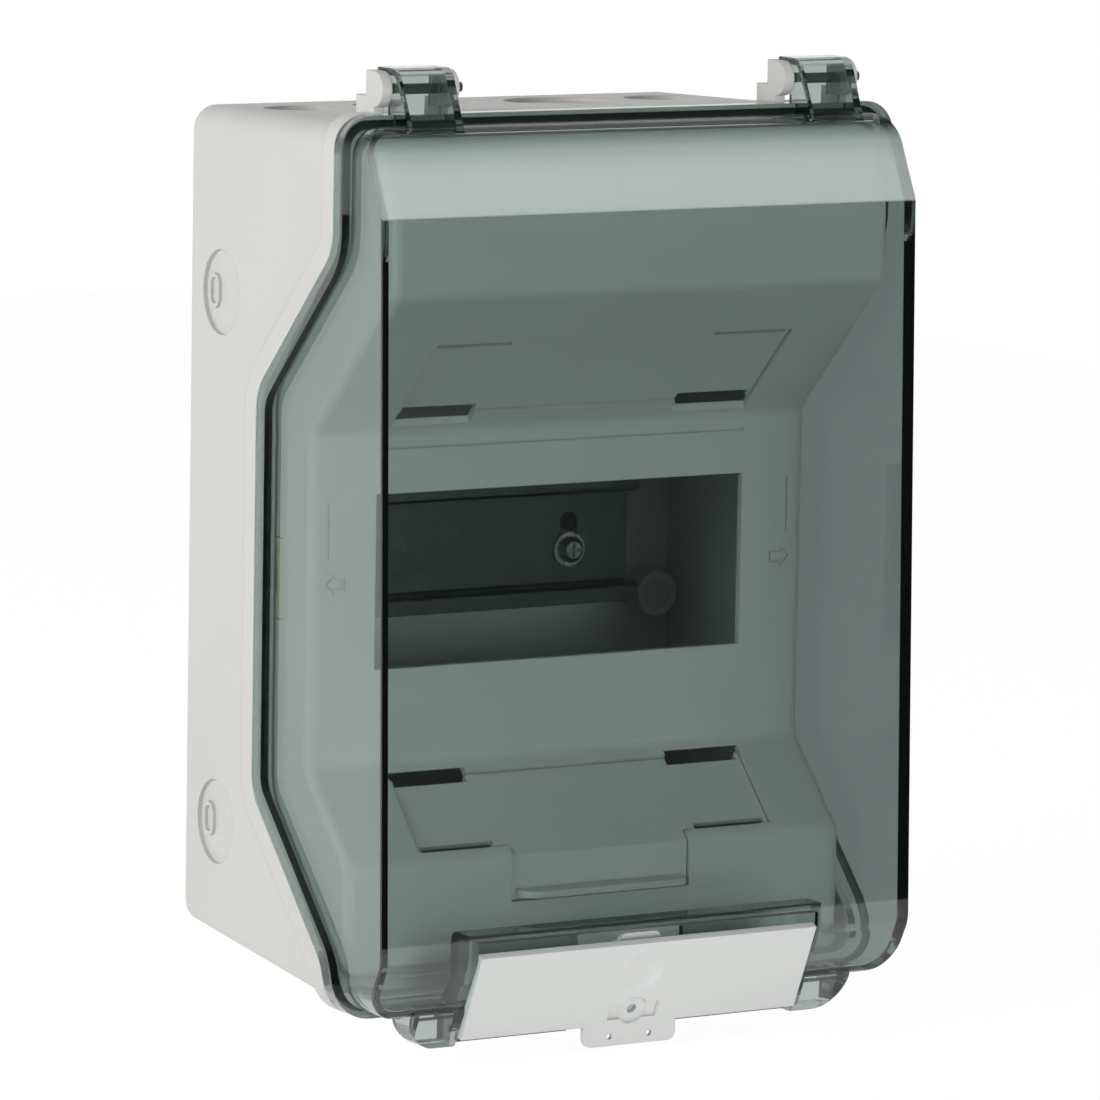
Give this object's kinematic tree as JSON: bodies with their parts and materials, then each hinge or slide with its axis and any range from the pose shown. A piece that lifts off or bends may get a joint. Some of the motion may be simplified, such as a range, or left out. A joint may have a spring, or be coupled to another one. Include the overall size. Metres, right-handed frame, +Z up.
{
  "type": "insulated modular enclosure",
  "caption": "Wall-mounted insulated enclosure for modular devices with a smoky hinged door and a latch flap below.",
  "frame": {"origin": "middle of the back face of the base housing, on the wall", "axes": "+X to the right seen from the front, +Y into the wall, +Z up"},
  "size_m": [0.165, 0.118, 0.2552],
  "materials": {
    "housing_grey": "light grey moulded, fine texture",
    "seal_rubber": "black foam rubber",
    "mask_grey": "grey moulded, satin",
    "clip_cream": "cream moulded",
    "rail_steel": "galvanised",
    "screw_steel": "zinc-plated",
    "cap_plastic": "grey moulded",
    "door_smoke": "clear smoky, polished",
    "pin_smoke": "clear smoky",
    "flap_white": "white moulded, satin"
  },
  "bodies": {
    "base": {"base_housing": "housing_grey", "rim_gasket": "seal_rubber", "inner_cover": "mask_grey", "upper_access_plate": "mask_grey", "lower_access_plate": "mask_grey", "cover_clip_left": "clip_cream", "cover_clip_right": "clip_cream", "din_rail": "rail_steel", "rail_screw_left": "screw_steel", "rail_screw_right": "screw_steel", "rail_washer_left": "screw_steel", "rail_washer_right": "screw_steel", "fixing_cap_lower_left": "cap_plastic", "fixing_cap_lower_right": "cap_plastic", "fixing_cap_upper_left": "cap_plastic", "fixing_cap_upper_right": "cap_plastic", "hinge_pin_left": "pin_smoke", "hinge_pin_right": "pin_smoke"},
    "door": {"door": "door_smoke", "latch_pin_left": "screw_steel", "latch_pin_right": "screw_steel"},
    "flap": {"latch_flap": "flap_white"}
  },
  "joints": [
    {"name": "door_hinge", "type": "hinge", "parent": "base", "child": "door", "pos_m": [0, -0.0915, 0.1208], "axis": [-1, 0, 0], "range_deg": [0, 110]},
    {"name": "flap_hinge", "type": "hinge", "parent": "door", "child": "flap", "pos_m": [0, -0.105, -0.1196], "axis": [1, 0, 0], "range_deg": [0, 50]}
  ]
}
